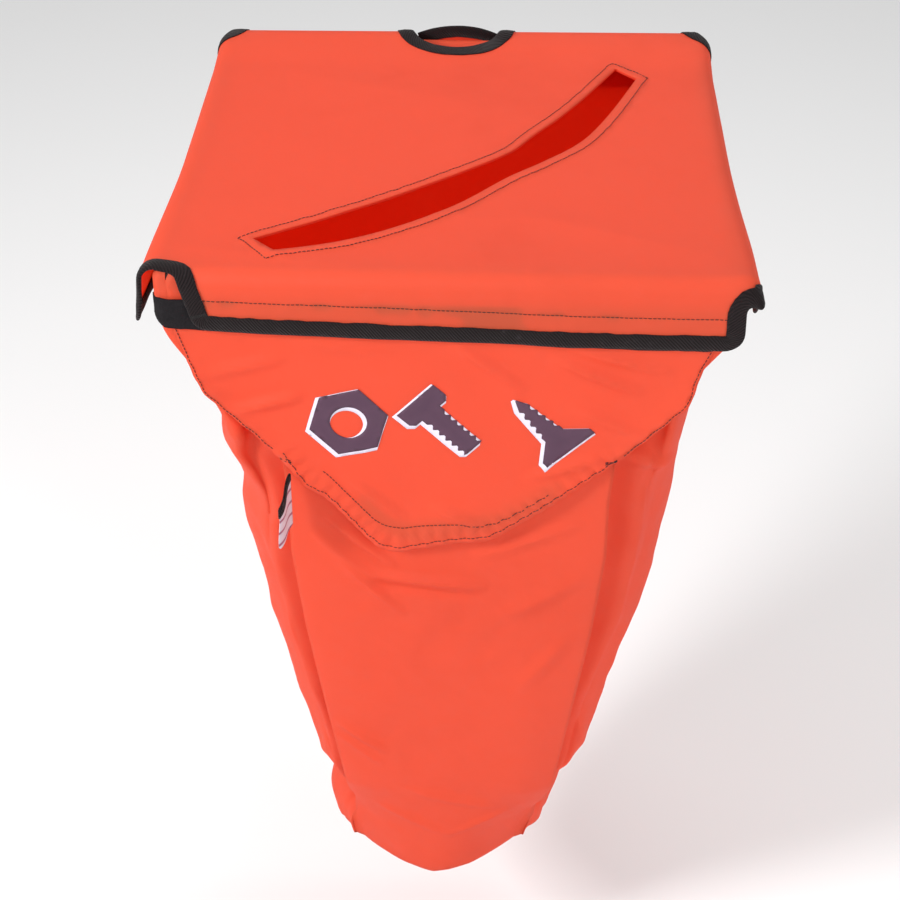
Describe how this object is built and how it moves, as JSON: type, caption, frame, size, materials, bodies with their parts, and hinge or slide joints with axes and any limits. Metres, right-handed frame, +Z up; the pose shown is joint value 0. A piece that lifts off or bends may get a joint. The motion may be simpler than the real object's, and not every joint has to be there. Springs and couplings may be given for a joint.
{
  "type": "debris collection bag",
  "caption": "Tapered hi-vis fabric bag on a square tube frame, with a hinged slotted lid, a V-shaped closure flap and hook-and-loop edges.",
  "frame": {"origin": "middle of the rear frame tube's axis, where the bag hangs", "axes": "+Z up out of the lid, +Y to the rear (towards whatever it hangs on), +X to the right seen from the front"},
  "size_m": [0.4562, 0.4755, 0.7194],
  "materials": {
    "orange_fabric": "coated weave, satin",
    "facing_fabric": "coated weave, matt",
    "binding_tape": "ribbed twill",
    "hook_loop": "hook-and-loop",
    "tube_alloy": "mill",
    "elbow_plastic": "moulded",
    "vinyl_plum": "printed vinyl",
    "vinyl_white": "printed vinyl",
    "label_cloth": "woven label"
  },
  "bodies": {
    "bag": {"frame_tube_front": "tube_alloy", "frame_tube_rear": "tube_alloy", "frame_tube_left": "tube_alloy", "frame_tube_right": "tube_alloy", "corner_elbow_front_left": "elbow_plastic", "corner_elbow_front_right": "elbow_plastic", "corner_elbow_rear_left": "elbow_plastic", "corner_elbow_rear_right": "elbow_plastic", "front_yoke_panel": "orange_fabric", "front_lower_panel": "orange_fabric", "left_gusset": "orange_fabric", "right_gusset": "orange_fabric", "rear_panel": "orange_fabric", "base_panel": "orange_fabric", "rear_rim_tape": "binding_tape", "loop_strip_front": "hook_loop", "loop_strip_rear": "hook_loop", "loop_strip_left": "hook_loop", "loop_strip_right": "hook_loop", "flap_loop_strip": "hook_loop", "hook_strip_rear": "hook_loop", "lid_rear_flap": "orange_fabric", "rear_flap_binding": "binding_tape", "mark_bolt": "vinyl_plum", "mark_backing_bolt": "vinyl_white", "mark_nut": "vinyl_plum", "mark_backing_nut": "vinyl_white", "mark_screw": "vinyl_plum", "mark_backing_screw": "vinyl_white"},
    "lid": {"lid_top": "orange_fabric", "slot_facing": "facing_fabric", "lid_binding_front": "binding_tape", "lid_binding_left": "binding_tape", "lid_binding_right": "binding_tape", "corner_binding_left": "binding_tape", "corner_binding_right": "binding_tape", "half_moon_binding": "binding_tape", "hook_strip_front": "hook_loop", "hook_strip_left": "hook_loop", "hook_strip_right": "hook_loop"},
    "flap": {"closure_flap": "orange_fabric", "flap_hook_strip": "hook_loop"},
    "label": {"side_label": "label_cloth"}
  },
  "joints": [
    {"name": "lid_open", "type": "hinge", "parent": "bag", "child": "lid", "pos_m": [0, -0.0035, 0.0084], "axis": [-1, 0, 0], "range_deg": [0, 115]},
    {"name": "flap_open", "type": "hinge", "parent": "bag", "child": "flap", "pos_m": [0, -0.4369, -0.172], "axis": [-1, 0, 0], "range_deg": [0, 100]},
    {"name": "label_swing", "type": "hinge", "parent": "bag", "child": "label", "pos_m": [-0.1258, -0.4385, -0.203], "axis": [0, 0, 1], "range_deg": [-45, 45]}
  ]
}
